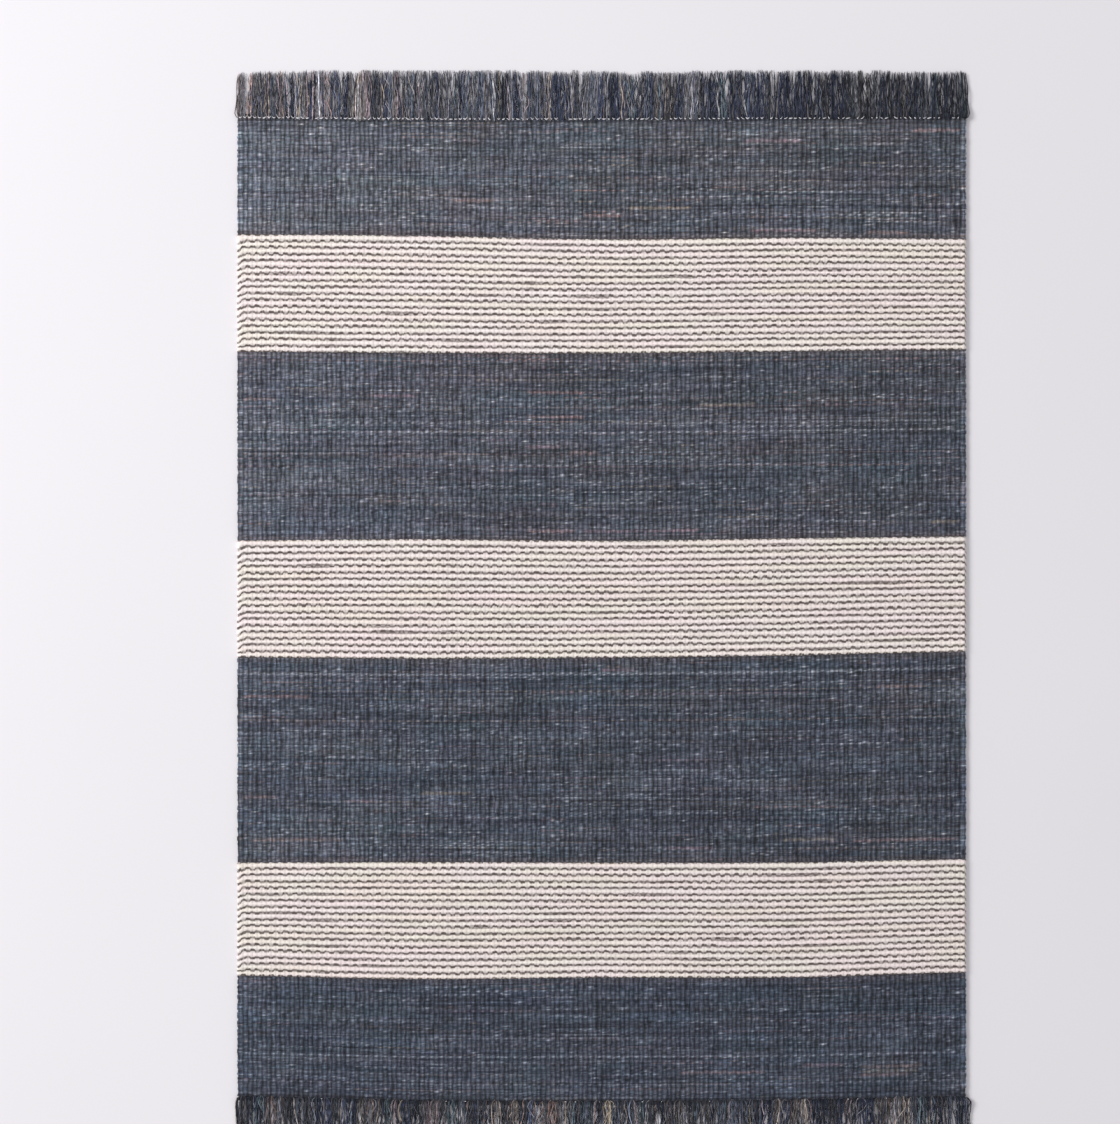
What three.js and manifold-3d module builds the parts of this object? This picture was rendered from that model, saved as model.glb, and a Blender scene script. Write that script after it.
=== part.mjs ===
// A flat-woven jute rug, lying flat: one thick cloth with slate and cream bands, and a sewn-on fringe at
// each end. The slate bands are packed weft over thick warps, so they stand in ribs along the rug. The
// cream bands are rows of thick cream weft across the rug, parted by thin dark picks in the grooves.
// Millimetres, +Z up. X is the width and Y the length, and the origin is the middle of the underside.
import * as THREE from "three";
import { mergeVertices } from "three/addons/utils/BufferGeometryUtils.js";
import Module from "manifold-3d";

const wasm = await Module();
wasm.setup();

// Driving dimensions
const RUG_WIDTH = 1524;
const CLOTH_LENGTH = 2050;
const FRINGE_LENGTH = 98;
const RIBS = 156;
const STRANDS = 146;

// Heights above the floor
const RIB_CREST = 9.0;
const RIB_VALLEY = 7.4;
const ROW_CREST = 9.5;
const ROW_GROOVE = 7.4;

// The selvedge, seen on the cloth's cross-section: how far each line is inside the widest one, and its height
const SELVEDGE_TOP_INSET = 2.5;
const SELVEDGE_LINES = [
  { inset: 0, height: 6.2 },
  { inset: 0, height: 2.6 },
  { inset: 2, height: 0 },
];

// Bands from the near end to the far end. A band of rows says how many cream rows it holds.
const BANDS = [
  { weave: "ribs", length: 256 },
  { weave: "rows", length: 242, rows: 18 },
  { weave: "ribs", length: 427 },
  { weave: "rows", length: 248, rows: 19 },
  { weave: "ribs", length: 390 },
  { weave: "rows", length: 239, rows: 18 },
  { weave: "ribs", length: 248 },
];

// How far each band edge, from the near seam to the far one, is bowed out of straight along the rug, at
// five places across the width.
const BOWS = [
  { left: 5.2, leftMid: -3.1, middle: -5.2, rightMid: -2.1, right: 5.2 },
  { left: 3.8, leftMid: -6.1, middle: -4.6, rightMid: -2.7, right: 9.6 },
  { left: -1.7, leftMid: -1.7, middle: -3.1, rightMid: -1.0, right: 7.7 },
  { left: -2.1, leftMid: -5.0, middle: -2.3, rightMid: 0.4, right: 9.0 },
  { left: -5.0, leftMid: -1.5, middle: -3.3, rightMid: 1.9, right: 7.5 },
  { left: 0.8, leftMid: -2.7, middle: -3.1, rightMid: -0.2, right: 5.6 },
  { left: 3.8, leftMid: 2.7, middle: -4.4, rightMid: -0.2, right: -2.3 },
  { left: 3.6, leftMid: -1.9, middle: -1.9, rightMid: -0.2, right: 0.8 },
];

const BAND_STEP = 1.2; // from a band's edge to the first line of its own weave
const GROOVE_SHARE = 0.3; // of a row's pitch that the groove takes
const COLUMNS = 8; // straight stretches across the width that carry a bow
const HALF_WIDTH = RUG_WIDTH / 2;

// Each fringe hangs from a sewn band, which has this cross-section: how far out from the seam, and how high
const SEAM_GAP = 0.5;
const SEWN_BAND_OUT = 9;
const SEWN_BAND_INSET = 1; // how much shorter than the cloth's width it is, at each end
const SEWN_BAND = [
  { out: 0, height: 0 },
  { out: SEWN_BAND_OUT, height: 0 },
  { out: SEWN_BAND_OUT, height: 6.6 },
  { out: 6.5, height: 8.2 },
  { out: 1.5, height: 8.2 },
  { out: 0, height: 7.2 },
];

// A strand's cross-sections, at its root inside the sewn band and at its tip: share of its length, width of
// its underside and of its top, and height
const STRAND_SECTIONS = [
  { along: -0.04, under: 9.0, over: 6.2, height: 6.0 },
  { along: 1, under: 6.8, over: 4.2, height: 4.0 },
];
const STRAND_PITCH = (RUG_WIDTH - 2 * SEWN_BAND_INSET) / STRANDS;
const LENGTH_SPREAD = 5; // a strand is this much shorter or longer than the cut
const WANDER = 5; // how far tips lean together, along waves of WANDER_WAVE across the rug
const WANDER_WAVE = 340;
const STRAY = 0.5; // how far a tip leans on its own
const CORNER_STRANDS = 5; // strands at each corner that splay out
const NEAR_SPLAY = { left: 12, right: 13 }; // outwards, at the outermost tip
const FAR_SPLAY = { left: 5, right: -2 };

// A number from -1 to 1 that looks random and is the same every time.
function scatter(index, kind) {
  const wave = Math.sin(index * 12.9898 + kind * 78.233) * 43758.5453;
  return 2 * (wave - Math.floor(wave)) - 1;
}

// A smooth curve through evenly spaced values, read at a share from 0 to 1.
function smoothThrough(values, share) {
  const last = values.length - 1;
  const at = Math.min(share * last, last - 1e-9);
  const i = Math.floor(at);
  const t = at - i;
  const [before, from, to, after] = [i - 1, i, i + 1, i + 2].map(
    (k) => values[Math.min(Math.max(k, 0), last)],
  );
  const rise = (to - before) / 2;
  const fall = (after - from) / 2;
  const cubic = 2 * from - 2 * to + rise + fall;
  const square = 3 * to - 3 * from - 2 * rise - fall;
  return ((cubic * t + square) * t + rise) * t + from;
}

// The bow of band edge number edge at x, straight between the columns.
function bowAt(edge, x) {
  const { left, leftMid, middle, rightMid, right } = BOWS[edge];
  const values = [left, leftMid, middle, rightMid, right];
  const at = THREE.MathUtils.clamp((x / RUG_WIDTH + 0.5) * COLUMNS, 0, COLUMNS);
  const i = Math.min(Math.floor(at), COLUMNS - 1);
  const low = smoothThrough(values, i / COLUMNS);
  const high = smoothThrough(values, (i + 1) / COLUMNS);
  return THREE.MathUtils.lerp(low, high, at - i);
}

// Where band edge number edge runs at x, from the near seam to the far one.
function edgeAt(edge, x) {
  const straight = BANDS.slice(0, edge).reduce((sum, band) => sum + band.length, 0);
  return straight - CLOTH_LENGTH / 2 + bowAt(edge, x);
}

// The places across a line, from left to right, for one that reaches halfWidth each way.
function across(halfWidth, steps) {
  return Array.from({ length: steps + 1 }, (_, i) =>
    THREE.MathUtils.lerp(-halfWidth, halfWidth, i / steps),
  );
}

// Adds the faces between two lines that run the same way. They face the viewer who sees them run to the
// right, with lower below upper. The lines may have different numbers of points.
function bridge(triangles, lower, upper, runOf) {
  let i = 0;
  let j = 0;
  while (i < lower.length - 1 || j < upper.length - 1) {
    const lowerNext = i < lower.length - 1 ? runOf(lower[i + 1]) : Infinity;
    const upperNext = j < upper.length - 1 ? runOf(upper[j + 1]) : Infinity;
    if (lowerNext <= upperNext) {
      triangles.push(lower[i], lower[i + 1], upper[j]);
      i += 1;
    } else {
      triangles.push(lower[i], upper[j + 1], upper[j]);
      j += 1;
    }
  }
}

// A line across a slate band, up and down over every rib.
function ribLine(edge, offset) {
  const places = across(HALF_WIDTH - SELVEDGE_TOP_INSET, 2 * RIBS);
  return places.map((x, i) =>
    new THREE.Vector3(x, edgeAt(edge, x) + offset, i % 2 ? RIB_CREST : RIB_VALLEY),
  );
}

// A line across a cream band, at a share of the way from its near edge to its far edge.
function rowLine(nearEdge, share, height) {
  return across(HALF_WIDTH - SELVEDGE_TOP_INSET, COLUMNS).map((x) => {
    const near = edgeAt(nearEdge, x) + BAND_STEP;
    const far = edgeAt(nearEdge + 1, x) - BAND_STEP;
    return new THREE.Vector3(x, THREE.MathUtils.lerp(near, far, share), height);
  });
}

// A cream band's lines: each row has a flat crest, and a groove follows it.
function rowLines(nearEdge, rows) {
  const pitch = 1 / (rows - GROOVE_SHARE);
  const lines = [];
  for (let row = 0; row < rows; row += 1) {
    const start = row * pitch;
    const end = start + (1 - GROOVE_SHARE) * pitch;
    lines.push(rowLine(nearEdge, start, ROW_CREST));
    lines.push(rowLine(nearEdge, end, ROW_CREST));
    if (row < rows - 1) lines.push(rowLine(nearEdge, end + (GROOVE_SHARE / 2) * pitch, ROW_GROOVE));
  }
  return lines;
}

// The lines over the top of the whole cloth, from the near seam to the far one.
function topLines() {
  const lastEdge = BANDS.length;
  return BANDS.flatMap((band, i) =>
    band.weave === "rows"
      ? rowLines(i, band.rows)
      : [
          ribLine(i, i === 0 ? 0 : BAND_STEP),
          ribLine(i + 1, i + 1 === lastEdge ? 0 : -BAND_STEP),
        ],
  );
}

// The woven cloth, one solid: its ribbed top, rounded selvedges, seam ends and flat underside.
function clothGeometry() {
  const triangles = [];
  const top = topLines();
  for (let i = 0; i < top.length - 1; i += 1) bridge(triangles, top[i], top[i + 1], (p) => p.x);

  const alongX = (p) => p.x;
  const alongY = (p) => p.y;
  const endLine = (edge, line) =>
    across(HALF_WIDTH - line.inset, COLUMNS).map(
      (x) => new THREE.Vector3(x, edgeAt(edge, x), line.height),
    );
  const nearLines = [top[0], ...SELVEDGE_LINES.map((line) => endLine(0, line))];
  const farLines = [top.at(-1), ...SELVEDGE_LINES.map((line) => endLine(BANDS.length, line))];
  const rightLines = nearLines.map((line, i) => [line.at(-1), farLines[i].at(-1)]);
  const leftLines = nearLines.map((line, i) => [line[0], farLines[i][0]]);
  rightLines[0] = top.map((line) => line.at(-1));
  leftLines[0] = top.map((line) => line[0]);
  const turned = (line) => [...line].reverse();
  for (let i = 0; i < nearLines.length - 1; i += 1) {
    bridge(triangles, nearLines[i + 1], nearLines[i], alongX);
    bridge(triangles, turned(farLines[i + 1]), turned(farLines[i]), (p) => -p.x);
    bridge(triangles, rightLines[i + 1], rightLines[i], alongY);
    bridge(triangles, turned(leftLines[i + 1]), turned(leftLines[i]), (p) => -p.y);
  }
  bridge(triangles, farLines.at(-1), nearLines.at(-1), alongX);
  return new THREE.BufferGeometry().setFromPoints(triangles);
}

// A solid lofted through rings of points, which run clockwise as seen from behind the first ring.
function loftedGeometry(rings) {
  const triangles = [];
  const count = rings[0].length;
  for (let r = 0; r < rings.length - 1; r += 1) {
    for (let k = 0; k < count; k += 1) {
      const next = (k + 1) % count;
      triangles.push(rings[r][k], rings[r][next], rings[r + 1][next]);
      triangles.push(rings[r][k], rings[r + 1][next], rings[r + 1][k]);
    }
  }
  const lastRing = rings.at(-1);
  for (let k = 1; k < count - 1; k += 1) {
    triangles.push(rings[0][0], rings[0][k + 1], rings[0][k]);
    triangles.push(lastRing[0], lastRing[k], lastRing[k + 1]);
  }
  return new THREE.BufferGeometry().setFromPoints(triangles);
}

function solidOf(geometry) {
  const merged = mergeVertices(geometry, 1e-3);
  return new wasm.Manifold(
    new wasm.Mesh({
      numProp: 3,
      vertProperties: merged.attributes.position.array,
      triVerts: new Uint32Array(merged.index.array),
    }),
  );
}

function geometryFrom(solid) {
  const mesh = solid.getMesh();
  return new THREE.BufferGeometry()
    .setAttribute("position", new THREE.BufferAttribute(mesh.vertProperties, 3))
    .setIndex(new THREE.BufferAttribute(mesh.triVerts, 1));
}

// The sewn band of a fringe, along band edge number edge. Outwards is 1 at the far end and -1 at the near end.
function sewnBand(edge, outwards) {
  const rings = across(HALF_WIDTH - SEWN_BAND_INSET, COLUMNS).map((x) =>
    SEWN_BAND.map(({ out, height }) =>
      new THREE.Vector3(x, edgeAt(edge, x) + outwards * (SEAM_GAP + out), height),
    ),
  );
  return loftedGeometry(outwards > 0 ? rings : rings.reverse());
}

// How far the tip of a strand leans sideways.
function leanOf(index, x, splay, kind) {
  const fromCorner = Math.min(index, STRANDS - 1 - index);
  const share = Math.max(0, CORNER_STRANDS - fromCorner) / CORNER_STRANDS;
  const outwards = x < 0 ? -splay.left : splay.right;
  const together = WANDER * Math.sin((x / WANDER_WAVE) * 2 * Math.PI + kind) * (1 - share);
  return share * outwards + together + STRAY * scatter(index, kind);
}

// One strand of a fringe: a thick soft yarn lock with a level underside.
function strand(edge, outwards, index, splay) {
  const x = (index + 0.5 - STRANDS / 2) * STRAND_PITCH;
  const kind = edge + 1;
  const root = edgeAt(edge, x) + outwards * (SEAM_GAP + SEWN_BAND_OUT);
  const length = FRINGE_LENGTH - SEWN_BAND_OUT + LENGTH_SPREAD * scatter(index, kind + 20);
  const lean = leanOf(index, x, splay, kind);
  const rings = STRAND_SECTIONS.map((section) => {
    const y = root + outwards * section.along * length;
    const middle = x + Math.max(0, section.along) * lean;
    return [
      new THREE.Vector3(middle - section.under / 2, y, 0),
      new THREE.Vector3(middle + section.under / 2, y, 0),
      new THREE.Vector3(middle + section.over / 2, y, section.height),
      new THREE.Vector3(middle - section.over / 2, y, section.height),
    ];
  });
  return loftedGeometry(outwards > 0 ? rings.map((ring) => ring.reverse()) : rings);
}

// A whole fringe: its sewn band with every strand rooted in it.
function fringeGeometry(edge, outwards, splay) {
  const solids = [solidOf(sewnBand(edge, outwards))];
  for (let index = 0; index < STRANDS; index += 1) {
    solids.push(solidOf(strand(edge, outwards, index, splay)));
  }
  return geometryFrom(wasm.Manifold.union(solids));
}

const slateWeave = new THREE.MeshStandardMaterial({ color: 0x54565f, roughness: 0.95, metalness: 0 });
const fringeYarn = new THREE.MeshStandardMaterial({ color: 0x4c4d55, roughness: 0.95, metalness: 0 });

function piece(name, geometry, material) {
  const mesh = new THREE.Mesh(geometry, material);
  mesh.name = name;
  return mesh;
}

const rug = new THREE.Group();
rug.add(piece("woven_cloth", clothGeometry(), slateWeave));
rug.add(piece("fringe_near", fringeGeometry(0, -1, NEAR_SPLAY), fringeYarn));
rug.add(piece("fringe_far", fringeGeometry(BANDS.length, 1, FAR_SPLAY), fringeYarn));

// Strands differ in length, so the whole rug is moved until its middle is over the origin.
const middle = new THREE.Box3().setFromObject(rug).getCenter(new THREE.Vector3());
rug.position.set(-middle.x, -middle.y, 0);

export default rug;
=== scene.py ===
# A flat-woven jute rug, laid out on a pale floor and seen from straight above. It has four slate bands, three
# cream bands, and a fringe sewn along each end. Metres, +Z up: X is the rug's width and Y its length.
import bpy
import numpy as np
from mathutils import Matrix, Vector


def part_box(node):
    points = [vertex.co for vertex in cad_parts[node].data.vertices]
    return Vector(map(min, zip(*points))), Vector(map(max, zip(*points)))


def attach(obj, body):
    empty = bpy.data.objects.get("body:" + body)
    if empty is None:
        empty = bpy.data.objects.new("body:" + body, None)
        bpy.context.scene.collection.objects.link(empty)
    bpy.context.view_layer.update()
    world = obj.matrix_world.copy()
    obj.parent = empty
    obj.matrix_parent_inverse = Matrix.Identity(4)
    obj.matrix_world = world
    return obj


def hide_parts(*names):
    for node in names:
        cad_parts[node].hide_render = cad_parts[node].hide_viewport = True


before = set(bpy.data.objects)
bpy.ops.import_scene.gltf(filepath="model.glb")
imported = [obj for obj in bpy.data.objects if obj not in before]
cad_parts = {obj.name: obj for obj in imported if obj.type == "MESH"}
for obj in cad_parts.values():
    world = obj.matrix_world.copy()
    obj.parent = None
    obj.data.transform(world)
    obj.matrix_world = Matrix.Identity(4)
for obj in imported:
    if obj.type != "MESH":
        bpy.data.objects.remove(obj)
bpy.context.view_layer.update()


# The slate bands. Thick warps run along the rug, and a jute weft of mixed slate, charcoal and rust fibre is
# beaten down over them until only the weft shows. Each float of weft covers one rib, and the floats on
# neighbouring ribs lie half a float apart. At both selvedges the weft turns back round the outermost rib.
MM = 0.001
cloth_low, cloth_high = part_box("woven_cloth")
cloth_middle = (cloth_low.x + cloth_high.x) / 2
half_width = (cloth_high.x - cloth_low.x) / 2
ribs = 156
float_spacing = 2.3 * MM
selvedge_inset = 2.5 * MM
underside_inset = 2 * MM
rib_crest = 9.0 * MM
rib_valley = 7.5 * MM
yarn_unevenness = 0.2 * MM
selvedge_turn = 1.5 * MM
selvedge_heights = np.array([6.2, 2.6]) * MM
ribs_past_edge = 0.4
underside_step = 12

# Where a band's parts lie on its texture: the start and the height of each strip, the two sides of the strip
# for its ends, and the margins at the left and at the right. The gap keeps points of the underside apart.
under_strip, left_strip, right_strip = (0.005, 0.27), (0.305, 0.34), (0.655, 0.34)
end_over, end_under = 0.297, 0.285
strip_margin, end_margin = 0.005, 0.01
underside_gap = 3 * MM

# Lengths of the seven bands from the near seam, and how far each band edge is bowed out of straight: at the
# left selvedge, a quarter of the way across, in the middle, at three quarters and at the right selvedge.
band_lengths = np.array([256, 242, 427, 248, 390, 239, 248]) * MM
edge_bows = np.array([
    [5.2, -3.1, -5.2, -2.1, 5.2],
    [0.9, -6.9, -3.1, -3.2, 7.5],
    [-3.4, -2.4, -3.4, -3.5, 3.5],
    [-2.1, -5.0, -3.1, 1.6, 9.5],
    [-4.6, -1.9, -5.2, -0.3, 4.0],
    [-0.4, -3.3, -3.9, 0.1, 3.8],
    [6.8, 3.9, -3.5, -0.2, -2.3],
    [1.2, -1.9, -1.9, -0.2, 0.8],
]) * MM
far_seam = cloth_high.y - 3.6 * MM
near_seam = far_seam - band_lengths.sum()
band_edges = near_seam + np.concatenate([[0], np.cumsum(band_lengths)])


def ease(share):
    """Turns a share from 0 to 1 into one that starts and ends softly."""
    share = np.clip(share, 0, 1)
    return share * share * (3 - 2 * share)


def edge_at(edge, x):
    """Where a band edge runs, at places x across the rug."""
    bow = edge_bows[edge]
    last = len(bow) - 1
    at = np.clip((x - cloth_middle + half_width) / (2 * half_width), 0, 1) * last
    i = np.minimum(at.astype(int), last - 1)
    t = at - i
    before, start, end, after = (bow[np.clip(i + k, 0, last)] for k in (-1, 0, 1, 2))
    rise, fall = (end - before) / 2, (after - start) / 2
    curve = ((2 * start - 2 * end + rise + fall) * t + 3 * end - 3 * start - 2 * rise - fall) * t + rise
    return band_edges[edge] + curve * t + start


def drift(rng, rows, columns, row_swells, column_swells):
    """A grid of numbers from -1 to 1 that wander smoothly, with so many swells each way."""
    lattice = rng.uniform(-1, 1, (row_swells + 1, column_swells + 1))
    down, along = np.linspace(0, row_swells, rows), np.linspace(0, column_swells, columns)
    r, c = np.minimum(down.astype(int), row_swells - 1), np.minimum(along.astype(int), column_swells - 1)
    to_next_row, to_next_column = ease(down - r)[:, None], ease(along - c)[None, :]
    near = lattice[r][:, c] * (1 - to_next_column) + lattice[r][:, c + 1] * to_next_column
    far = lattice[r + 1][:, c] * (1 - to_next_column) + lattice[r + 1][:, c + 1] * to_next_column
    return near * (1 - to_next_row) + far * to_next_row


def mesh_object(name, points, faces, finish, uvs=None, readings=()):
    """A mesh object with its finish, its place in the texture, and the readings that the finish takes."""
    mesh = bpy.data.meshes.new(name)
    mesh.from_pydata(points, [], faces)
    if uvs is not None:
        layer = mesh.uv_layers.new(name="OFBake")
        layer.data.foreach_set("uv", np.asarray(uvs, np.float32).ravel())
    for reading, kind, values in readings:
        attribute = mesh.attributes.new(reading, kind, "POINT")
        field = "color" if kind == "FLOAT_COLOR" else "vector"
        attribute.data.foreach_set(field, np.asarray(values, np.float32).ravel())
    mesh.shade_smooth()
    mesh.materials.append(finish.material)
    piece = bpy.data.objects.new(name, mesh)
    bpy.context.scene.collection.objects.link(piece)
    return piece


def joined_rings(rings, ring):
    """The faces that join each closed ring of points to the next, and for each face its ring and the two
    places on it that it lies between."""
    r, a = np.meshgrid(np.arange(rings - 1), np.arange(ring), indexing="ij")
    b = (a + 1) % ring
    faces = np.stack([r * ring + a, r * ring + b, (r + 1) * ring + b, (r + 1) * ring + a], -1)
    return faces.reshape(-1, 4).tolist(), r, a, b


def woven_band(name, band, finish, u, v, heights, row_at, colours):
    """One band of the cloth as a closed sheet. u is the rib coordinate of each column, and v counts the lines
    of floats or picks. The face has a height, a place among the band's rows and a colour at each line and
    column."""
    lines, columns = len(v), len(u)
    top_half = half_width - selvedge_inset
    top_x = cloth_middle - top_half + 2 * top_half * u / ribs
    under_u = np.arange(ribs, -1, -underside_step)
    under_half = half_width - underside_inset
    under_x = cloth_middle - under_half + 2 * under_half * under_u / ribs

    # One line of points goes over the face, round the right selvedge, back underneath and up the left one.
    ring_x = np.concatenate([
        top_x, np.full(2, cloth_middle + half_width), under_x, np.full(2, cloth_middle - half_width)])
    ring_u = np.concatenate([u, np.full(2, ribs + ribs_past_edge), under_u, np.full(2, -ribs_past_edge)])
    ring = len(ring_x)
    points = np.zeros((lines, ring, 3))
    points[:, :, 0] = ring_x
    share = (v / v[-1])[:, None]
    points[:, :, 1] = edge_at(band, ring_x) * (1 - share) + edge_at(band + 1, ring_x) * share
    points[:, :columns, 2] = heights
    points[:, columns:columns + 2, 2] = selvedge_heights
    points[:, -2:, 2] = selvedge_heights[::-1]
    turn = selvedge_turn * np.random.default_rng(band).uniform(-0.6, 1, (2, lines // 2 + 1))
    turn = turn.repeat(2, 1)[:, :lines]
    points[:, columns:columns + 2, 0] += turn[0][:, None]
    points[:, -2:, 0] -= turn[1][:, None]
    weave = np.zeros((lines, ring, 3))
    weave[:, :, 0] = ring_u
    weave[:, :, 1] = v[:, None]
    weave[:, :columns, 2] = row_at
    weave[:, columns:, 2] = row_at[:, :1]
    face_column = np.clip(np.searchsorted(u, ring_u), 0, columns - 1)
    # The colours the mesh holds: the dyes, with any painted shade and painted highlight the band's colours
    # carry.
    held_colours = np.ones((lines, ring, 4))
    held_colours[:, :, :3] = colours[:, face_column]

    faces, r, a, b = joined_rings(lines, ring)

    # On the texture the face's left half lies under its right half, and the underside lies below both.
    middle = columns // 2
    lap = np.concatenate([ring_x[columns - 1:], ring_x[:1]])
    below = np.concatenate([[0], np.cumsum(np.abs(np.diff(lap)) + underside_gap)])
    below = below / below[-1]
    left_half, on_face = a < middle, a < columns - 1
    half_start = np.where(left_half, top_x[0], top_x[middle])
    half_span = np.where(left_half, top_x[middle] - top_x[0], top_x[-1] - top_x[middle])
    under_column = np.clip(a - columns + 1, 0, len(below) - 2)
    from_u = np.where(on_face, (ring_x[a] - half_start) / half_span, below[under_column])
    to_u = np.where(on_face, (ring_x[b] - half_start) / half_span, below[under_column + 1])
    strip_from = np.where(on_face, np.where(left_half, left_strip[0], right_strip[0]), under_strip[0])
    strip_tall = np.where(on_face, left_strip[1], under_strip[1])
    low_v, high_v = (strip_from + strip_tall * (r + k) / (lines - 1) for k in (0, 1))
    corners = [(from_u, low_v), (to_u, low_v), (to_u, high_v), (from_u, high_v)]
    uvs = [np.stack([np.stack([strip_margin + (1 - 2 * strip_margin) * across, along], -1)
                     for across, along in corners], 2).reshape(-1, 2)]

    # Each end is closed by faces from the line over the top to the few points underneath.
    under_of = columns + 2 + np.round((ribs - u) / underside_step).astype(int)
    for start, near in ((0, True), ((lines - 1) * ring, False)):
        ends = [[columns - 1, under_of[-1], columns + 1, columns], [0, ring - 1, ring - 2, under_of[0]]]
        for j in range(columns - 1):
            corner = [j, under_of[j], under_of[j + 1], j + 1]
            ends.append(corner if under_of[j] != under_of[j + 1] else corner[:2] + corner[3:])
        for corner in ends:
            corner = corner if near else corner[::-1]
            faces.append([int(start + k) for k in corner])
            end_u = 0.5 + (ring_x[corner] - cloth_middle) * (0.5 - end_margin) / half_width
            end_v = np.where(np.array(corner) < columns, end_over, end_under)
            uvs.append(np.stack([end_u, end_v], -1))
    piece = mesh_object(name, points.reshape(-1, 3).tolist(), faces, finish, np.concatenate(uvs), [
        ("weave", "FLOAT_VECTOR", weave.reshape(-1, 3)), ("dye", "FLOAT_COLOR", held_colours.reshape(-1, 4))])
    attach(piece, "root")
    return piece


class Reading:
    """A number that varies over a surface. Sums on readings add Math nodes to their finish."""

    def __init__(self, finish, socket):
        self.finish, self.socket = finish, socket

    def maths(self, operation, *others):
        return self.finish.node("ShaderNodeMath", {"operation": operation}, dict(enumerate([self, *others])))

    def __add__(self, other):
        return self.maths("ADD", other)

    def __sub__(self, other):
        return self.maths("SUBTRACT", other)

    def __mul__(self, other):
        return self.maths("MULTIPLY", other)

    def __truediv__(self, other):
        return self.maths("DIVIDE", other)

    def __mod__(self, other):
        return self.maths("FLOORED_MODULO", other)

    def __abs__(self):
        return self.maths("ABSOLUTE")

    def __neg__(self):
        return self * -1

    def __rsub__(self, other):
        return -self + other

    __radd__ = __add__
    __rmul__ = __mul__

    def whole(self):
        return self.maths("FLOOR")

    def nearest(self):
        return self.maths("ROUND")

    def soft(self, start, end):
        """0 where the reading is at start, 1 where it is at end, and eased between."""
        settings = {"interpolation_type": "SMOOTHSTEP"}
        return self.finish.node("ShaderNodeMapRange", settings,
                                {"Value": self, "From Min": start, "From Max": end})


class Finish:
    """One material, and the nodes that colour it."""

    def __init__(self, name):
        self.material = bpy.data.materials.new(name)
        self.material.use_nodes = True
        self.tree = self.material.node_tree
        self.shader = self.tree.nodes["Principled BSDF"]

    def node(self, kind, settings, sockets, output=0):
        """A node with its settings, and with a value or a link in each of the sockets named."""
        made = self.tree.nodes.new(kind)
        for setting, value in settings.items():
            setattr(made, setting, value)
        for socket, value in sockets.items():
            self.give(made.inputs[socket], value)
        return Reading(self, made.outputs[output])

    def give(self, socket, value):
        """Puts a number, a colour or a link in a socket."""
        if isinstance(value, Reading):
            self.tree.links.new(value.socket, socket)
        else:
            socket.default_value = value

    def mix(self, share, first, second, how="MIX"):
        return self.node("ShaderNodeMix", {"data_type": "RGBA", "blend_type": how},
                         {0: share, 6: first, 7: second}, 2)

    def cloud(self, x, y, z=0.0, detail=2.0):
        """Soft noise, about 0.5, with swells one unit apart."""
        place = self.node("ShaderNodeCombineXYZ", {}, {0: x, 1: y, 2: z})
        sockets = {"Vector": place, "Scale": 1.0, "Detail": detail}
        return self.node("ShaderNodeTexNoise", {"noise_dimensions": "3D"}, sockets)

    def held(self, name):
        """The colour that a mesh holds under that name."""
        return self.node("ShaderNodeAttribute", {"attribute_name": name}, {}, "Color")

    def readings(self, name):
        """The three readings that a mesh holds under that name."""
        held = self.node("ShaderNodeAttribute", {"attribute_name": name}, {}, "Vector")
        return [self.node("ShaderNodeSeparateXYZ", {}, {0: held}, k) for k in range(3)]

    def bump(self, height, depth):
        sockets = {"Height": height, "Distance": depth, "Strength": 1.0}
        self.give(self.shader.inputs["Normal"], self.node("ShaderNodeBump", {}, sockets))

    def yarn(self, colour):
        """Dull dyed jute."""
        self.surface(colour, roughness=0.9, gloss=0.25)
        self.give(self.shader.inputs["Sheen Weight"], 0.1)

    def surface(self, colour, roughness, gloss):
        """A surface of that colour, as rough and as glossy as given, from 0 to 1."""
        self.give(self.shader.inputs["Base Color"], colour)
        self.give(self.shader.inputs["Roughness"], roughness)
        self.give(self.shader.inputs["Specular IOR Level"], gloss)


def dye(red, green, blue):
    """A colour that is given as it looks on a screen, from 0 to 255."""
    return [((c / 255 + 0.055) / 1.055) ** 2.4 if c > 10 else c / 3295 for c in (red, green, blue)] + [1.0]


# The painted highlight on a slate rib's crest, how much painted shade the grooves and the ends of the floats
# get, and how deep the relief of the fibres is.
painted_crest_highlight, painted_groove_shade, painted_float_end_shade = 1.48, 0.48, 0.32
slate_relief = 0.8 * MM


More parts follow.
